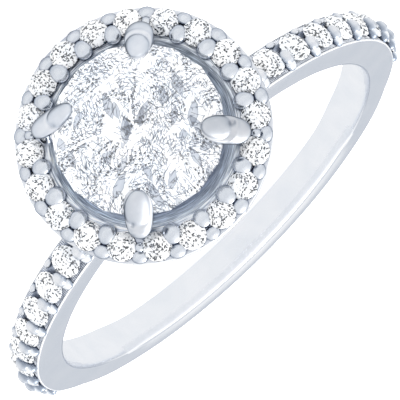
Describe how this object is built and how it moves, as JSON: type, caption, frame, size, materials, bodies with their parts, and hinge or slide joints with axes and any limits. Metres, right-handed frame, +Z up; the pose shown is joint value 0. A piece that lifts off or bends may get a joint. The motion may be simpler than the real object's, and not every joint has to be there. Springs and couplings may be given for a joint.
{
  "type": "halo ring",
  "caption": "Narrow finger ring with a large round centre stone in domed prongs, a close halo of small stones round it, and more small stones along the upper shank.",
  "frame": {"origin": "middle of the footprint, on the surface that the ring lies on", "axes": "+Z up from that surface, -Y towards the head of the ring, +X across the ring to the side named left"},
  "size_m": [0.0206, 0.0254, 0.0102],
  "materials": {
    "white_gold": "polished",
    "centre_diamond": "polished facets",
    "small_diamond": "polished facets"
  },
  "bodies": {
    "root": {"ring_metal": "white_gold", "centre_stone": "centre_diamond", "halo_stone_01": "small_diamond", "halo_stone_02": "small_diamond", "halo_stone_03": "small_diamond", "halo_stone_04": "small_diamond", "halo_stone_05": "small_diamond", "halo_stone_06": "small_diamond", "halo_stone_07": "small_diamond", "halo_stone_08": "small_diamond", "halo_stone_09": "small_diamond", "halo_stone_10": "small_diamond", "halo_stone_11": "small_diamond", "halo_stone_12": "small_diamond", "halo_stone_13": "small_diamond", "halo_stone_14": "small_diamond", "halo_stone_15": "small_diamond", "halo_stone_16": "small_diamond", "halo_stone_17": "small_diamond", "halo_stone_18": "small_diamond", "halo_stone_19": "small_diamond", "halo_stone_20": "small_diamond", "shank_stone_left_1": "small_diamond", "shank_stone_left_2": "small_diamond", "shank_stone_left_3": "small_diamond", "shank_stone_left_4": "small_diamond", "shank_stone_left_5": "small_diamond", "shank_stone_left_6": "small_diamond", "shank_stone_left_7": "small_diamond", "shank_stone_left_8": "small_diamond", "shank_stone_right_1": "small_diamond", "shank_stone_right_2": "small_diamond", "shank_stone_right_3": "small_diamond", "shank_stone_right_4": "small_diamond", "shank_stone_right_5": "small_diamond", "shank_stone_right_6": "small_diamond", "shank_stone_right_7": "small_diamond", "shank_stone_right_8": "small_diamond"}
  },
  "joints": []
}
